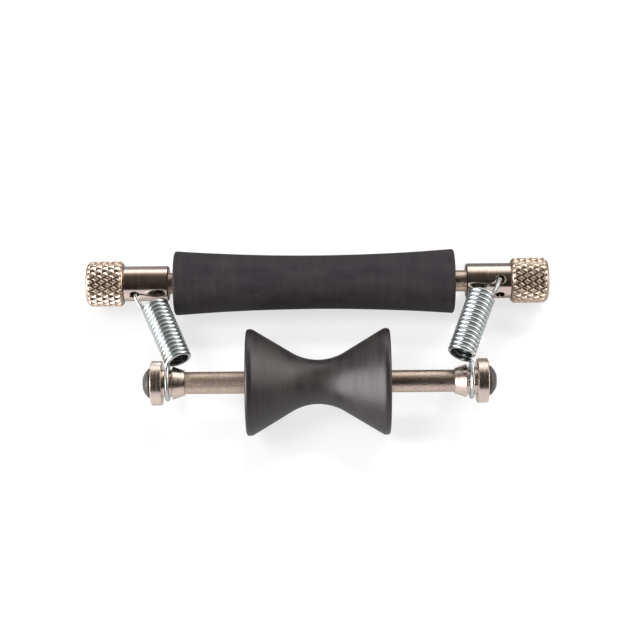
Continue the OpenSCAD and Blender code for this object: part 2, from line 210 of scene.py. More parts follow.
def mesh_piece(name, points, faces, place=None, sharp=math.radians(38)):
    """A new piece from points and faces, smooth but for edges over the sharp angle."""
    mesh = bpy.data.meshes.new(name)
    mesh.from_pydata([tuple(p) for p in points], [], faces)
    if place is not None:
        mesh.transform(place)
    mesh.validate()
    mesh.shade_smooth()
    mesh.set_sharp_from_angle(angle=sharp)
    piece = bpy.data.objects.new(name, mesh)
    bpy.context.scene.collection.objects.link(piece)
    return piece


def keep_values(piece, name, kind, key, values):
    """Keep a value at each point of a piece, for its material to read."""
    kept = piece.data.attributes.new(name, kind, "POINT")
    kept.data.foreach_set(key, values)


def grid_faces(rings, sides, closed=False):
    """Quads between neighbouring rings of points, and back to the first ring if closed."""
    faces = []
    for i in range(rings if closed else rings - 1):
        up = (i + 1) % rings * sides
        for j in range(sides):
            n = (j + 1) % sides
            faces.append((i * sides + j, i * sides + n, up + n, up + j))
    return faces


def angles_round(sides):
    return [2 * math.pi * j / sides for j in range(sides)]


def round_x(along, radius, angle):
    """A point on a circle round the X axis."""
    return along, radius * math.cos(angle), radius * math.sin(angle)


def turned(name, profile, place, wobble):
    """A piece turned round X from the (along, radius) points that run round its edge."""
    points = []
    for along, radius in profile:
        for angle in angles_round(TURNED_SIDES):
            at = Vector(round_x(along * WAVES_ALONG, WAVES_ROUND, angle))
            uneven = wobble * (0.5 + 0.5 * noise.noise(at))
            points.append(round_x(along, radius - uneven, angle))
    return mesh_piece(name, points, grid_faces(len(profile), TURNED_SIDES, True), place)


def arc_points(centre, radius, start, end, count):
    """Points on an arc of a profile, with angles in degrees from the along axis."""
    angles = [math.radians(start + (end - start) * i / count) for i in range(count + 1)]
    return [(centre[0] + radius * math.cos(angle), centre[1] + radius * math.sin(angle))
            for angle in angles]


def swept(name, path, radius, sides, place):
    """A round wire along a path of points, with domed ends and a map along its length."""
    last = len(path) - 1
    runs = [(path[min(i + 1, last)] - path[max(i - 1, 0)]).normalized() for i in range(last + 1)]
    side = runs[0].orthogonal().normalized()
    rings, reach = [], 0.0
    for i, (point, run) in enumerate(zip(path, runs)):
        side = (side - side.dot(run) * run).normalized()
        reach += (path[i] - path[i - 1]).length if i else 0.0
        rings.append((point, side, run.cross(side), radius, reach))

    def dome(at, sign):
        """Smaller and smaller rings past one end of the wire."""
        point, out, over, _, reach = rings[at]
        run = runs[at] * sign
        return [(point + run * radius * math.sin(angle), out, over, radius * math.cos(angle), reach)
                for angle in map(math.radians, (30, 60, 82))]

    rings = dome(0, -1)[::-1] + rings + dome(-1, 1)
    points, wire_run = [], []
    for point, out, over, ring_radius, reach in rings:
        for angle in angles_round(sides):
            points.append(point + ring_radius * (math.cos(angle) * out + math.sin(angle) * over))
            wire_run += round_x(reach, radius, angle)
    faces = grid_faces(len(rings), sides)
    faces.append(tuple(range(sides - 1, -1, -1)))
    faces.append(tuple(range(len(points) - sides, len(points))))
    piece = mesh_piece(name, points, faces, place, sharp=math.radians(60))
    keep_values(piece, "wire_run", "FLOAT_VECTOR", "vector", wire_run)
    return piece


# ---- Nodes ----

WHITE, BLACK = (1, 1, 1, 1), (0, 0, 0, 1)


def add_node(tree, kind, settings=None, **inputs):
    """A node with its settings, and its inputs set or linked by name, or by number as _0."""
    made = tree.nodes.new(kind)
    for key, value in (settings or {}).items():
        setattr(made, key, value)
    for key, value in inputs.items():
        socket = made.inputs[int(key[1:]) if key[0] == "_" else key.replace("_", " ")]
        if isinstance(value, bpy.types.NodeSocket):
            tree.links.new(value, socket)
        else:
            socket.default_value = value
    return made


def surface(name, **values):
    """A material with its Principled shader, and its node tree."""
    material = bpy.data.materials.new(name)
    material.use_nodes = True
    tree = material.node_tree
    shader = tree.nodes["Principled BSDF"]
    for key, value in values.items():
        shader.inputs[key.replace("_", " ")].default_value = value
    return material, tree, shader


def link_up(tree, shader, tone, rough, normal):
    for key, value in (("Base Color", tone), ("Roughness", rough), ("Normal", normal)):
        tree.links.new(value, shader.inputs[key])


def rgba(colour, share=1.0):
    return tuple(min(1.0, c * share) for c in colour) + (1.0,)


def place_of(tree, stretch=(1, 1, 1), at=None):
    """The piece's own coordinates, or others, scaled."""
    if at is None:
        at = add_node(tree, "ShaderNodeTexCoord").outputs["Object"]
    return add_node(tree, "ShaderNodeMapping", Vector=at, Scale=stretch).outputs["Vector"]


def axes_of(tree):
    """The piece's own coordinates, as outputs X, Y and Z."""
    return add_node(tree, "ShaderNodeSeparateXYZ", Vector=place_of(tree)).outputs


def kept_value(tree, name, output="Fac"):
    return add_node(tree, "ShaderNodeAttribute", {"attribute_name": name}).outputs[output]


def speckle(tree, scale=1.0, detail=3.0, rough=0.55, stretch=(1, 1, 1), at=None):
    """Cloudy noise about a middle of 0.5."""
    return add_node(tree, "ShaderNodeTexNoise", Vector=place_of(tree, stretch, at), Scale=scale,
                    Detail=detail, Roughness=rough).outputs["Fac"]


def remap(tree, value, low, high, to_low=0.0, to_high=1.0):
    return add_node(tree, "ShaderNodeMapRange", Value=value, From_Min=low, From_Max=high,
                    To_Min=to_low, To_Max=to_high).outputs["Result"]


def blend_colours(tree, share, first, second):
    made = add_node(tree, "ShaderNodeMix", {"data_type": "RGBA"}, _0=share, _6=first, _7=second)
    return made.outputs[2]


def shades(tree, share, colour, first, second):
    """One colour in two shades, blended by share."""
    return blend_colours(tree, share, rgba(colour, first), rgba(colour, second))


def maths(tree, operation, first, second=0.0):
    made = add_node(tree, "ShaderNodeMath", {"operation": operation}, _0=first, _1=second)
    return made.outputs[0]


def sum_of(tree, total, *others):
    for other in others:
        total = maths(tree, "ADD", total, other)
    return total


def product_of(tree, first, second):
    return maths(tree, "MULTIPLY", first, second)


def relief(tree, height, distance, strength, under=None):
    """Bumps of a height, on top of those under them."""
    made = add_node(tree, "ShaderNodeBump", Height=height, Distance=distance, Strength=strength)
    if under is not None:
        tree.links.new(under, made.inputs["Normal"])
    return made.outputs["Normal"]


def specks(tree, scale, reach, cloud, low, high, most):
    """Small specks of dust, which lie where the cloud is thick and fade out at their reach."""
    cells = add_node(tree, "ShaderNodeTexVoronoi", {"feature": "F1"}, Vector=place_of(tree),
                     Scale=scale)
    full_within = 0.03
    near = remap(tree, cells.outputs["Distance"], full_within, reach, 1, 0)
    return product_of(tree, near, remap(tree, cloud, low, high, 0, most))


# ---- Materials ----


def satin_nickel(name, colour):
    """The rods' plate: satin, finely mottled over drawn bar, and duller to the left."""
    material, tree, shader = surface(name, Metallic=1.0)
    mottle = speckle(tree, scale=2100, rough=0.7, stretch=(0.6, 1, 1))
    cloud = speckle(tree, scale=300)
    drawn = speckle(tree, detail=2, stretch=(90, 2200, 2200))
    tone = shades(tree, remap(tree, mottle, 0.36, 0.64), colour, 0.72, 1.10)
    rough = sum_of(tree, remap(tree, cloud, 0.3, 0.7, 0.25, 0.36),
                   remap(tree, axes_of(tree)["X"], -30 * MM, 30 * MM, 0.14, 0))
    grain = relief(tree, mottle, 100 * MICRON, 0.9)
    link_up(tree, shader, tone, rough, relief(tree, drawn, 12 * MICRON, 0.6, grain))
    return material


def turned_nickel(name, colour, rough=(0.10, 0.17), pit_depth=6 * MICRON):
    """The barrels' and spools' plate: bright over the fine rings of a lathe's cut."""
    material, tree, shader = surface(name, Metallic=1.0)
    fine = speckle(tree, rough=0.6, stretch=(6000, 40, 40))
    broad = speckle(tree, detail=2, rough=0.6, stretch=(1500, 25, 25))
    cloud = speckle(tree, scale=260, detail=4, rough=0.6)
    pits = speckle(tree, scale=1900, rough=0.6)
    share = sum_of(tree, remap(tree, cloud, 0.3, 0.7, 0, 0.6), remap(tree, broad, 0.3, 0.7, 0, 0.4))
    rough_at = sum_of(tree, remap(tree, broad, 0.35, 0.65, rough[0], rough[1]),
                      remap(tree, cloud, 0.4, 0.7, 0, 0.04))
    lathe = relief(tree, fine, 8 * MICRON, 0.6)
    lathe = relief(tree, broad, 30 * MICRON, 0.6, lathe)
    link_up(tree, shader, shades(tree, share, colour, 0.88, 1.06), rough_at,
            relief(tree, pits, pit_depth, 0.7, lathe))
    return material


def knurled_nickel(name, colour):
    """The knobs' plate: bright crests, painted shade in the grooves and the blind hole, and fine
    rings on the faced ends.
    """
    material, tree, shader = surface(name, Metallic=1.0)
    cloud = speckle(tree, scale=600)
    grain = speckle(tree, scale=2600)
    # Painted shade: the base colour darkens towards the bottoms of the grooves and inside the blind
    # hole, broken by grain.
    groove_shade = product_of(tree, remap(tree, kept_value(tree, "groove"), 0.5, 1.0, 0, 0.85),
                      remap(tree, grain, 0.4, 0.6, 0.6, 1.1))
    at = axes_of(tree)
    squares = [maths(tree, "POWER", maths(tree, "SUBTRACT", at[key], middle), 2.0)
               for key, middle in (("Y", PALM_AXIS.y), ("Z", PALM_AXIS.z))]
    radius = maths(tree, "POWER", sum_of(tree, *squares), 0.5)
    rings = add_node(tree, "ShaderNodeTexNoise", {"noise_dimensions": "1D"}, W=radius,
                     Scale=2200, Detail=3).outputs["Fac"]
    tone = shades(tree, groove_shade, colour, 1, 0.30)
    tone = blend_colours(tree, remap(tree, rings, 0.35, 0.65, 0.14, 0), tone, BLACK)
    faced = relief(tree, rings, 60 * MICRON, 0.7)
    link_up(tree, shader, tone, remap(tree, cloud, 0.3, 0.7, 0.27, 0.38),
            relief(tree, grain, 20 * MICRON, 0.6, faced))
    return material


def zinc_wire(name, colour):
    """Bright zinc over drawn wire, with streaks along it, and painted shade inside the coil."""
    material, tree, shader = surface(name, Metallic=0.9)
    streaks = speckle(tree, stretch=(150, 4500, 4500), at=kept_value(tree, "wire_run", "Vector"))
    cloud = speckle(tree, scale=420)
    # Painted shade: the wire's side that faces the coil's middle is darkened.
    coil_shade = remap(tree, kept_value(tree, "inside"), 0.1, 0.8)
    tone = shades(tree, remap(tree, cloud, 0.3, 0.7), colour, 0.90, 1.10)
    tone = blend_colours(tree, coil_shade, tone, rgba(colour, 0.16))
    link_up(tree, shader, tone, remap(tree, streaks, 0.3, 0.7, 0.15, 0.27),
            relief(tree, streaks, 20 * MICRON, 0.6))
    return material


def grip_rubber(name, colour, dust):
    """Matte moulded rubber with dust in its fine grain."""
    material, tree, shader = surface(name, Metallic=0.0, Specular_IOR_Level=0.22)
    fine = speckle(tree, scale=3200, rough=0.6)
    cloud = speckle(tree, detail=4, rough=0.62, stretch=(80, 190, 190))
    smear = speckle(tree, rough=0.6, stretch=(500, 60, 60))
    share = sum_of(tree, remap(tree, cloud, 0.38, 0.68, 0, 0.17),
                   remap(tree, smear, 0.42, 0.66, 0, 0.07))
    tone = blend_colours(tree, share, rgba(colour), rgba(dust))
    tone = blend_colours(tree, specks(tree, 260, 0.10, cloud, 0.5, 0.62, 0.55), tone,
                         rgba(dust, 1.7))
    link_up(tree, shader, tone, remap(tree, cloud, 0.3, 0.7, 0.52, 0.66),
            relief(tree, fine, 40 * MICRON, 0.6))
    return material


def roller_rubber(name, colour, bloom):
    """Satin moulded rubber, with cloudy bloom and faint rings where it flowed in its mould."""
    material, tree, shader = surface(name, Metallic=0.0, Specular_IOR_Level=0.62)
    fine = speckle(tree, scale=2400, rough=0.6)
    cloud = speckle(tree, detail=4, rough=0.62, stretch=(110, 75, 75))
    rings = speckle(tree, rough=0.6, stretch=(650, 18, 18))
    share = sum_of(tree, remap(tree, cloud, 0.35, 0.7, 0, 0.9),
                   remap(tree, rings, 0.4, 0.62, 0, 0.42))
    tone = blend_colours(tree, share, rgba(colour), rgba(bloom))
    tone = blend_colours(tree, specks(tree, 230, 0.09, cloud, 0.54, 0.66, 0.6), tone,
                         rgba(bloom, 3.0))
    rough = sum_of(tree, remap(tree, cloud, 0.3, 0.7, 0.34, 0.44),
                   remap(tree, rings, 0.4, 0.65, 0, 0.07))
    flow = relief(tree, rings, 60 * MICRON, 0.6)
    link_up(tree, shader, tone, rough, relief(tree, fine, 20 * MICRON, 0.5, flow))
    return material


def black_screw(name, colour):
    """Blackened steel with a soft shine, and painted shade where the head stands on its spool."""
    material, tree, shader = surface(name, Metallic=0.0, Specular_IOR_Level=1.0)
    cloud = speckle(tree, scale=700)
    out = maths(tree, "ABSOLUTE", maths(tree, "SUBTRACT", axes_of(tree)["X"], THUMB_SHIFT))
    face = node_box("spool_right")[1].x - THUMB_SHIFT
    # Painted shade on the head's edge next to the spool.
    seat_shade = remap(tree, out, face + 0.4 * MM, face + 1.3 * MM, 1, 0)
    tone = shades(tree, remap(tree, cloud, 0.3, 0.7), colour, 0.8, 1.2)
    tone = blend_colours(tree, seat_shade, tone, rgba(colour, 0.2))
    link_up(tree, shader, tone, remap(tree, cloud, 0.3, 0.7, 0.3, 0.4),
            relief(tree, speckle(tree, scale=3000), 10 * MICRON, 0.5))
    return material


def finish_with(piece, material):
    piece.data.materials.clear()
    piece.data.materials.append(material)


def put_on(piece, body, node, material):
    """The finished piece rides its body and stands for its node."""
    finish_with(piece, material)
    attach(piece, body)
    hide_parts(node)


# ---- Pieces ----


class GRIP_OT_palm_grip(bpy.types.Operator):
    """Build the waisted rubber palm grip"""
    bl_idname = "grip.palm_grip"
    bl_label = "Palm grip"

    def execute(self, context):
        s = context.scene.grip_sleeve
        _, _, size = node_box("palm_grip")
        half, end_r, waist_r = size.x / 2, size.z / 2, s.waist_diameter / 2
        rise = end_r - waist_r
        arc_r = (half * half + rise * rise) / (2 * rise)

        def radius_at(x):
            return waist_r + arc_r - math.sqrt(arc_r ** 2 - x ** 2)

        edge, steps = half - s.rim_round, 60
        outer = [(edge * i / steps, radius_at(edge * i / steps)) for i in range(-steps, steps + 1)]
        round_r = radius_at(edge) - s.rim_round
        bore = node_box("palm_rod")[2].z / 2 + BORE_PLAY
        side = arc_points((edge, round_r), s.rim_round, 90, 0, 8)[1:]
        side += [(half, (round_r + bore) / 2), (half, bore + s.bore_chamfer),
                 (half - s.bore_chamfer, bore)]
        mirrored = [(-x, r) for x, r in side]
        place = BAR_FRAME @ Matrix.Translation((GRIP_SHIFT, 0, 0))
        piece = turned("palm_grip_rubber", outer + side + mirrored[::-1], place, 0.06 * MM)
        put_on(piece, "grip", "palm_grip",
               grip_rubber("grip_rubber_matte", s.rubber, s.dust))
        return {"FINISHED"}


class GRIP_OT_roller(bpy.types.Operator):
    """Build the hourglass thumb roller"""
    bl_idname = "grip.roller"
    bl_label = "Thumb roller"

    def execute(self, context):
        s = context.scene.grip_roller
        _, _, size = node_box("thumb_roller")
        half, rim_r = size.x / 2, size.z / 2
        bore_r = node_box("thumb_rod")[2].z / 2 + BORE_PLAY
        centre_r = s.waist_diameter / 2 + s.waist_arc
        flank_x = half - s.rim_land
        reach = math.hypot(centre_r - rim_r, flank_x)
        angle = math.asin(s.waist_arc / reach) - math.atan2(centre_r - rim_r, flank_x)

        def waist_at(turn):
            return s.waist_arc * math.sin(turn), centre_r - s.waist_arc * math.cos(turn)

        waist = [waist_at(angle * i / 24) for i in range(25)]
        x, r = waist_at(angle)
        ease, chamfer, face_step = 0.55 * MM, 0.5 * MM, 0.4 * MM
        run, slope = flank_x - ease - x, (rim_r - r) / (flank_x - x)
        flank = [(x + run * i / 26, r + run * slope * i / 26) for i in range(1, 27)]
        corner, land = (flank_x, rim_r), (flank_x + ease, rim_r)
        shoulder = []
        for t in (i / 6 for i in range(1, 6)):
            shoulder.append(tuple((1 - t) ** 2 * p + 2 * t * (1 - t) * q + t * t * u
                                  for p, q, u in zip(flank[-1], corner, land)))
        outer = arc_points((half - s.rim_round, rim_r - s.rim_round), s.rim_round, 90, 0, 8)
        face = [(half, rim_r - s.rim_round - face_step), (half, bore_r + chamfer),
                (half - chamfer, bore_r)]
        side = waist[1:] + flank + shoulder + [land] + outer + face
        mirrored = [(-x, r) for x, r in side]
        profile = mirrored[::-1] + [waist[0]] + side
        place = BAR_FRAME @ Matrix.Translation((ROLLER_SHIFT, -AXIS_GAP, 0))
        piece = turned("thumb_roller_rubber", profile, place, 0.05 * MM)
        put_on(piece, "roller", "thumb_roller",
               roller_rubber("roller_rubber_satin", s.rubber, s.bloom))
        return {"FINISHED"}


class GRIP_OT_knobs(bpy.types.Operator):
    """Build the two knurled knobs"""
    bl_idname = "grip.knobs"
    bl_label = "Knurled knobs"

    STEPS = 10                  # steps of the mesh in half a diamond, each way
    BORE = 3.08 * MM            # radius of the blind hole
    BORE_DEPTH = 9.0 * MM
    POINT_END = BORE_DEPTH + 0.6 * BORE     # how deep the drill's point went
    POINT_RADIUS = 0.2 * MM     # left flat at the tip of that point
    BORE_SHADE = 0.6            # painted shade inside the hole, on the scale of the knurl's grooves

    def execute(self, context):
        s = context.scene.grip_knobs
        material = knurled_nickel("knurled_nickel_bright", s.nickel)
        for node, body, side in (("knob_left", "left_knob", -1), ("knob_right", "right_knob", 1)):
            self.knob(node, body, side, s, material)
        return {"FINISHED"}

    def knob(self, node, body, side, s, material):
        low, high, size = node_box(node)
        start = high.x if side < 0 else low.x
        length, crest = size.x, size.z / 2
        root = crest - s.knurl_depth
        band = length - s.inner_chamfer - s.outer_chamfer
        diamond = 2 * math.pi * crest / s.knurl_count / math.tan(s.knurl_angle)
        rows, columns = round(2 * band / diamond), 2 * s.knurl_count * self.STEPS
        step = band / rows / self.STEPS
        before, after = math.ceil(s.inner_chamfer / step), math.ceil(s.outer_chamfer / step)
        ticks = range(-before, rows * self.STEPS + after + 1)
        angles = angles_round(columns)
        points, grooves, faces = [], [], []
        for tick in ticks:
            along = min(max(s.inner_chamfer + tick * step, 0.0), length)
            run_out = max(0.0, (along - length) / s.outer_chamfer + 1)
            rounded = 0.7 * run_out + 0.3 * (1 - math.sqrt(1 - run_out ** 2))
            cone = min(crest, crest - s.inner_chamfer + along, crest - s.outer_chamfer * rounded)
            for j, angle in enumerate(angles):
                p, q = (tick + j) / self.STEPS / 2, (tick - j) / self.STEPS / 2
                cut = 2 * max(abs(p - round(p)), abs(q - round(q)))
                cut = max(0.0, (cut - s.crest_wear) / (1 - s.crest_wear))
                points.append(round_x(side * along, min(cone, crest - s.knurl_depth * cut), angle))
                grooves.append(cut if cone > root else 0.0)
        for i, tick in enumerate(ticks[:-1]):
            for j in range(columns):
                a, b = i * columns + j, i * columns + (j + 1) % columns
                c, d = b + columns, a + columns
                # The triangles' edges follow the bottoms of the grooves.
                if (tick + j + 1) % (2 * self.STEPS) == self.STEPS:
                    faces += [(a, b, d), (b, c, d)]
                else:
                    faces += [(a, b, c), (a, c, d)]
        free_end = len(points) - columns
        rings = [0]
        # The blind hole's walls, which get painted shade.
        for along, r, hole_shade in (
                (0.0, self.BORE, 0.0),
                (self.BORE_DEPTH, self.BORE, self.BORE_SHADE),
                (self.POINT_END, self.POINT_RADIUS, self.BORE_SHADE)):
            rings.append(len(points))
            points += [round_x(side * along, r, angle) for angle in angles]
            grooves += [hole_shade] * columns
        for near, far in zip(rings, rings[1:]):
            for j in range(columns):
                n = (j + 1) % columns
                faces.append((near + n, near + j, far + j, far + n))
        faces.append(tuple(range(rings[-1], rings[-1] + columns))[::-1])
        faces.append(tuple(range(free_end, free_end + columns)))
        if side > 0:
            faces = [face[::-1] for face in faces]
        piece = mesh_piece(node + "_knurled", points, faces,
                           BAR_FRAME @ Matrix.Translation((start, 0, 0)), sharp=math.radians(24))
        keep_values(piece, "groove", "FLOAT", "value", grooves)
        put_on(piece, body, node, material)


def bezier(p, q, r, u, count=20):
    """Points on a curve from p to u, without p, that leaves towards q and arrives from r."""
    points = []
    for t in (i / count for i in range(1, count + 1)):
        points.append((1 - t) ** 3 * p + 3 * t * (1 - t) ** 2 * q + 3 * t * t * (1 - t) * r
                      + t ** 3 * u)
    return points


class SpringPath:
    """The centre line of one spring's wire, in the bars' own frame, from hook tip to loop end."""

    PHASE = math.radians(45.0)      # where on the coil's circle its first turn starts
    BEND = 2.0 * MM                 # length over which the wire leaves the coil
    GROOVE_INSET = 5.8 * MM         # from a spool's outer face to its groove
    LOOP_RADIUS = 5.75 * MM         # from the thumb rod's axis to the loop's wire
    LOOP_START, LOOP_TURN = 80, 300     # degrees round the thumb rod
    COIL_GAP = 7.0 * MM             # from the thumb rod's axis to the coil's near end
    HOOK_INSET = 4.2 * MM           # from a barrel's outer face to its hooked hole
    HOOK_INBOARD = 0.5 * MM         # the hook's wire lies this far inboard in its hole
    HOOK_MOUTH = 6.9 * MM           # from the palm rod's axis to where the hook goes in
    HOOK_LEAD = 1.3 * MM            # straight length before it goes in
    HOOK_RADIUS = 3.925 * MM        # from the palm rod's axis to the hook's tip
    HOOK_ELBOW = 1.0 * MM           # radius of the elbow behind the hole
    HOOK_TIPS = (1.9 * MM, 2.6 * MM)    # points of the straight tip, further inboard
    END_MARGIN = 1.5 * MM           # wire this far past the coil still counts as coil

    def __init__(self, side, lean, climb, hook_angle, s):
        self.side, self.s = side, s
        lean, rise, self.hook = math.radians(lean), math.radians(climb), math.radians(hook_angle)
        self.sweep = 2 * math.pi * (s.turns + 1) - 2 * self.PHASE
        self.groove_x = node_box("spool_right")[1].x - THUMB_SHIFT - self.GROOVE_INSET
        self.hook_x = node_box("hook_barrel_right")[1].x - self.HOOK_INSET
        # The coil's own axis, towards the thumb rod, and two ways across it.
        self.along = Vector((-side * math.sin(lean), -math.cos(lean) * math.cos(rise),
                             math.cos(lean) * math.sin(rise)))
        self.out = Vector((side * math.cos(lean), -math.sin(lean) * math.cos(rise),
                           math.sin(lean) * math.sin(rise)))
        self.over = self.along.cross(self.out)
        self.end = Vector((
            THUMB_SHIFT + side * (self.groove_x - s.coil_radius * math.cos(lean)),
            -AXIS_GAP + self.COIL_GAP,
            self.LOOP_RADIUS + side * (s.coil_radius - self.BEND) * math.sin(self.PHASE)))

    def coil(self, phase):
        back = self.s.pitch * (self.PHASE + self.sweep - phase) / (2 * math.pi)
        return (self.end - self.along * back
                + self.s.coil_radius * (math.cos(phase) * self.out + math.sin(phase) * self.over))

    def run(self, phase):
        """The way that the coil's wire runs."""
        return (self.along * self.s.pitch / (2 * math.pi * self.s.coil_radius)
                - math.sin(phase) * self.out + math.cos(phase) * self.over).normalized()

    def loop(self, degrees):
        angle = math.radians(degrees)
        return Vector((THUMB_SHIFT + self.side * self.groove_x,
                       -AXIS_GAP + self.LOOP_RADIUS * math.cos(angle),
                       self.LOOP_RADIUS * math.sin(angle)))

    def hole(self, r, inboard):
        """A point at a radius in the barrel's hooked hole, or inboard of it."""
        return Vector((self.side * (self.hook_x - inboard),
                       -r * math.cos(self.hook), r * math.sin(self.hook)))

    def inside(self, point):
        """How far a point of the coil's wire faces the coil's own middle, from 0 to 1: the share of
        painted shade there.
        """
        reach = (point - self.end).dot(self.along)
        off = (point - self.end - reach * self.along).length
        length = self.s.pitch * self.sweep / (2 * math.pi)
        if not -length - self.END_MARGIN < reach < self.END_MARGIN:
            return 0.0
        return min(1.0, max(0.0, (self.s.coil_radius - off) / (self.s.wire / 2)))

    def hook_points(self):
        """From the coil's first turn into the barrel, and round the elbow to the tip."""
        start, run = self.coil(self.PHASE), -self.run(self.PHASE)
        mouth = self.hole(self.HOOK_MOUTH, self.HOOK_INBOARD)
        inward = (self.hole(0, self.HOOK_INBOARD) - mouth).normalized()
        hook = bezier(start, start + run * self.BEND, mouth - inward * self.HOOK_LEAD, mouth)
        for i in range(13):
            bend = math.radians(90 * i / 12)
            hook.append(self.hole(self.HOOK_RADIUS + self.HOOK_ELBOW * (1 - math.sin(bend)),
                                  self.HOOK_INBOARD + self.HOOK_ELBOW * (1 - math.cos(bend))))
        return hook + [self.hole(self.HOOK_RADIUS, self.HOOK_INBOARD + tip)
                       for tip in self.HOOK_TIPS]

    def loop_points(self):
        """From the coil's last turn into the spool's groove, and round it."""
        last = self.PHASE + self.sweep
        end, onto = self.coil(last), self.loop(self.LOOP_START)
        into = (self.loop(self.LOOP_START + 1) - onto).normalized()
        return bezier(end, end + self.run(last) * self.BEND, onto - into * self.BEND, onto) + [
            self.loop(self.LOOP_START + self.LOOP_TURN * i / 90) for i in range(1, 91)]

    def points(self, per_turn=44):
        count = round(self.sweep / (2 * math.pi) * per_turn)
        coil = [self.coil(self.PHASE + self.sweep * i / count) for i in range(count + 1)]
        return self.hook_points()[::-1] + coil + self.loop_points()


class GRIP_OT_springs(bpy.types.Operator):
    """Wind the two close-wound springs, with their hooks and loops"""
    bl_idname = "grip.springs"
    bl_label = "Springs"

    # Node, side, then its lean, its climb and its hook's angle in degrees.
    SPRINGS = (("spring_left", -1, 22.5, 4.0, 22.0), ("spring_right", 1, 20.5, -3.0, 67.0))
    WIRE_SIDES = 20
    STRETCH = (7.4 * MM, 29.0 * MM)     # the stretching part, from the thumb rod's axis

    def execute(self, context):
        s = context.scene.grip_springs
        material = zinc_wire("zinc_wire_bright", s.zinc)
        back = BAR_FRAME.inverted()
        for node, *angles in self.SPRINGS:
            path = SpringPath(*angles, s)
            piece = swept(node + "_wire", path.points(), s.wire / 2, self.WIRE_SIDES, BAR_FRAME)
            # Each point keeps its share of painted shade inside the coil.
            keep_values(piece, "inside", "FLOAT", "value",
                        [path.inside(back @ v.co) for v in piece.data.vertices])
            finish_with(piece, material)
            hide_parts(node)
            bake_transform(piece)
        return {"FINISHED"}


class GRIP_OT_metalwork(bpy.types.Operator):
    """Finish the rods, barrels, spools and end screws"""
    bl_idname = "grip.metalwork"
    bl_label = "Metalwork"

    def execute(self, context):
        s = context.scene.grip_metal
        finishes = (
            (satin_nickel("rod_nickel_satin", s.rod), ("palm_rod", "thumb_rod")),
            (turned_nickel("barrel_nickel_bright", s.barrel),
             ("hook_barrel_left", "hook_barrel_right")),
            (turned_nickel("spool_nickel_satin", s.barrel, (0.19, 0.28), 50 * MICRON),
             ("spool_left", "spool_right")),
            (black_screw("screw_black", s.screw), ("end_screw_left", "end_screw_right")),
        )
        for material, nodes in finishes:
            for node in nodes:
                finish_with(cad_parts[node], material)
        return {"FINISHED"}


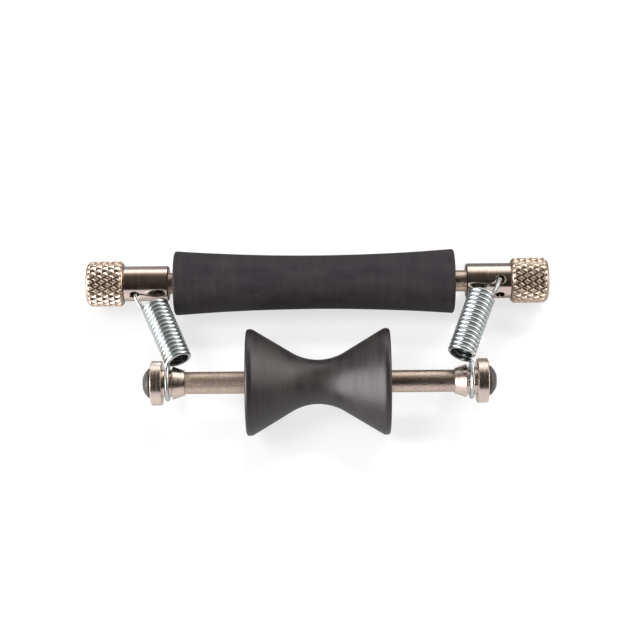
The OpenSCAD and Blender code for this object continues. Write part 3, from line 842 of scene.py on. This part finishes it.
class GRIP_OT_stage(bpy.types.Operator):
    """Set the pale floor, the soft light and the camera"""
    bl_idname = "grip.stage"
    bl_label = "Stage"

    # Ways from the piece towards the parts of the room.
    LEFT, RIGHT, FRONT, UP = (-1, 0, 0), (1, 0, 0), (0, -1, 0), (0, 0, 1)
    BACK_WALL = (0.28, 0.88, 0.4)
    LEFT_BOX, RIGHT_BOX = (-0.88, -0.2, 0.4), (0.92, 0.28, 0.34)
    SIDE_FILL = (-0.65, -0.55, 0.52)
    # Each key light's setting, its width in degrees, and the way towards it.
    KEYS = (("left_key", 22.0, (-0.5, 0.08, 1.0)), ("right_key", 22.0, (0.4, 0.72, 0.75)),
            ("back_key", 9.0, (0.1, 0.66, 0.95)))
    SIDE_GREY, FRONT_GREY = (0.44, 0.43, 0.46, 1), (0.77, 0.74, 0.80, 1)
    BACK_WHITE = (1.5, 1.5, 1.5, 1)
    COOL_WHITE, WARM_WHITE = (1, 0.965, 0.985, 1), (1, 0.97, 0.90, 1)
    CAMERA_TARGET = Vector((0.83 * MM, 7.84 * MM, 15 * MM))

    def execute(self, context):
        s = context.scene.grip_studio
        self.floor(s)
        self.world(context.scene, s)
        self.lamps(s)
        self.camera(context.scene, s)
        return {"FINISHED"}

    def floor(self, s):
        """A matte sheet with a glow, and a painted reflection for metal: the floor it mirrors is
        dimmed behind and glows more in front and to the left.
        """
        reach, cells, drop = 3.0, 12, 0.05 * MM
        points = [(reach * (2 * i / cells - 1), reach * (2 * j / cells - 1), -drop)
                  for i in range(cells + 1) for j in range(cells + 1)]
        across = cells + 1
        corners = [i * across + j for i in range(cells) for j in range(cells)]
        faces = [(corner, corner + across, corner + across + 1, corner + 1) for corner in corners]
        piece = mesh_piece("floor", points, faces)
        material, tree, shader = surface("floor_paper", Roughness=0.9, Specular_IOR_Level=0.1)
        ray = add_node(tree, "ShaderNodeLightPath").outputs
        at = axes_of(tree)
        # Painted reflection: for glossy rays the floor darkens behind the piece and glows more in
        # front and to the left.
        lit = remap(tree, at["Y"], -10 * MM, 40 * MM, 1, 0.3)
        leftward = sum_of(tree, lit, remap(tree, at["X"], -90 * MM, -50 * MM, 0.9, 0))
        dim = product_of(tree, maths(tree, "SUBTRACT", 1.0, lit), ray["Is Glossy Ray"])
        tone = blend_colours(tree, dim, rgba(s.floor), BLACK)
        tree.links.new(tone, shader.inputs["Base Color"])
        mirrored = remap(tree, ray["Is Glossy Ray"], 0, 1, 0, s.mirrored_glow)
        strength = sum_of(tree, remap(tree, ray["Is Camera Ray"], 0, 1, 0, s.floor_glow),
                          product_of(tree, mirrored, leftward),
                          remap(tree, ray["Is Diffuse Ray"], 0, 1, 0, s.bounced_glow))
        glow = add_node(tree, "ShaderNodeEmission", Color=WHITE, Strength=strength).outputs[0]
        both = add_node(tree, "ShaderNodeAddShader", _0=shader.outputs[0], _1=glow).outputs[0]
        tree.links.new(both, tree.nodes["Material Output"].inputs["Surface"])
        finish_with(piece, material)

    def world(self, scene, s):
        """Plain white to the camera, and a room with soft boxes to whatever mirrors it."""
        world = bpy.data.worlds.new("studio")
        scene.world = world
        world.use_nodes = True
        tree = world.node_tree
        tree.nodes.clear()
        way = add_node(tree, "ShaderNodeTexCoord").outputs["Generated"]
        up = add_node(tree, "ShaderNodeSeparateXYZ", Vector=way).outputs["Z"]

        def towards(direction, low, high, most=1.0):
            """Rises from 0 to most as the way nears a direction."""
            near = add_node(tree, "ShaderNodeVectorMath", {"operation": "DOT_PRODUCT"}, _0=way,
                            _1=Vector(direction).normalized()).outputs["Value"]
            return remap(tree, near, low, high, 0, most)

        def light(strength, colour=WHITE):
            return add_node(tree, "ShaderNodeBackground", Color=colour,
                            Strength=strength).outputs[0]

        back = towards(self.BACK_WALL, 0.66, 0.9)
        wall = blend_colours(tree, towards(self.FRONT, 0.45, 0.8), self.SIDE_GREY, self.FRONT_GREY)
        wall = blend_colours(tree, back, wall, self.BACK_WHITE)
        overhead = shades(tree, towards(self.FRONT, -0.3, 0.5), s.overhead, 1, 0.3)
        haze = blend_colours(tree, back, overhead, rgba(s.haze))
        ceiling = blend_colours(tree, remap(tree, up, 0.62, 0.93), haze, overhead)
        taller = maths(tree, "SUBTRACT", up, towards(self.RIGHT, 0.02, 0.15, 0.26))
        edge = blend_colours(tree, back, remap(tree, up, 0.49, 0.55),
                             remap(tree, taller, 0.36, 0.62))
        room = light(1.0, blend_colours(tree, edge, wall, ceiling))
        boxes = sum_of(tree, towards(self.LEFT_BOX, 0.80, 0.93, s.left_box),
                       towards(self.RIGHT_BOX, 0.86, 0.96, s.right_box),
                       towards(self.LEFT, 0.75, 0.97, s.low_box))
        warmth = blend_colours(tree, towards(self.RIGHT, -0.3, 0.3), self.COOL_WHITE,
                               self.WARM_WHITE)
        mirrored = add_node(tree, "ShaderNodeAddShader", _0=room, _1=light(boxes, warmth))
        fill = sum_of(tree, towards(self.SIDE_FILL, 0.4, 0.95, s.side_fill),
                      towards(self.UP, 0.0, 1.0, s.top_fill), s.fill)
        ray = add_node(tree, "ShaderNodeLightPath").outputs
        seen = add_node(tree, "ShaderNodeMixShader", _0=ray["Is Glossy Ray"], _1=light(fill),
                        _2=mirrored.outputs[0])
        seen = add_node(tree, "ShaderNodeMixShader", _0=ray["Is Camera Ray"], _1=seen.outputs[0],
                        _2=light(1.0))
        add_node(tree, "ShaderNodeOutputWorld", Surface=seen.outputs[0])

    def lamps(self, s):
        for name, width, towards in self.KEYS:
            lamp = bpy.data.lights.new(name, "SUN")
            lamp.energy = getattr(s, name)
            lamp.angle = math.radians(width)
            key = bpy.data.objects.new(name, lamp)
            bpy.context.scene.collection.objects.link(key)
            key.location = Vector(towards).normalized()
            key.rotation_euler = key.location.to_track_quat("Z", "Y").to_euler()
            key.visible_glossy = False

    def camera(self, scene, s):
        back = Vector((0, -math.cos(s.elevation), math.sin(s.elevation)))
        data = bpy.data.cameras.new("camera")
        data.lens, data.sensor_width = s.lens, 36.0
        data.clip_start, data.clip_end = 0.01, 20.0
        camera = bpy.data.objects.new("camera", data)
        scene.collection.objects.link(camera)
        turn = back.to_track_quat("Z", "Y").to_matrix().to_4x4() @ Matrix.Rotation(s.roll, 4, "Z")
        camera.matrix_world = Matrix.Translation(self.CAMERA_TARGET + back * s.distance) @ turn
        scene.camera = camera
        scene.view_settings.view_transform = "Standard"


OPERATORS = (
    GRIP_OT_palm_grip, GRIP_OT_roller, GRIP_OT_knobs, GRIP_OT_springs, GRIP_OT_metalwork,
    GRIP_OT_stage,
)


class GRIP_PT_sidebar(bpy.types.Panel):
    """Lists the pieces and the stage"""
    bl_idname = "GRIP_PT_sidebar"
    bl_label = "Hand Grip Strengthener"
    bl_space_type = "VIEW_3D"
    bl_region_type = "UI"
    bl_category = "Grip"

    def draw(self, context):
        for operator in OPERATORS:
            self.layout.operator(operator.bl_idname)
        for name, group in SETTINGS.items():
            box = self.layout.box()
            box.label(text=group.__doc__)
            for key in group.__annotations__:
                box.prop(getattr(context.scene, name), key)


def register():
    for name, group in SETTINGS.items():
        bpy.utils.register_class(group)
        setattr(bpy.types.Scene, name, PointerProperty(type=group))
    for operator in OPERATORS:
        bpy.utils.register_class(operator)
    bpy.utils.register_class(GRIP_PT_sidebar)


def unregister():
    bpy.utils.unregister_class(GRIP_PT_sidebar)
    for operator in reversed(OPERATORS):
        bpy.utils.unregister_class(operator)
    for name, group in SETTINGS.items():
        delattr(bpy.types.Scene, name)
        bpy.utils.unregister_class(group)


def main():
    register()
    bpy.ops.grip.palm_grip()
    bpy.ops.grip.roller()
    bpy.ops.grip.knobs()
    bpy.ops.grip.springs()
    bpy.ops.grip.metalwork()
    bpy.ops.grip.stage()


if __name__ == "__main__":
    main()
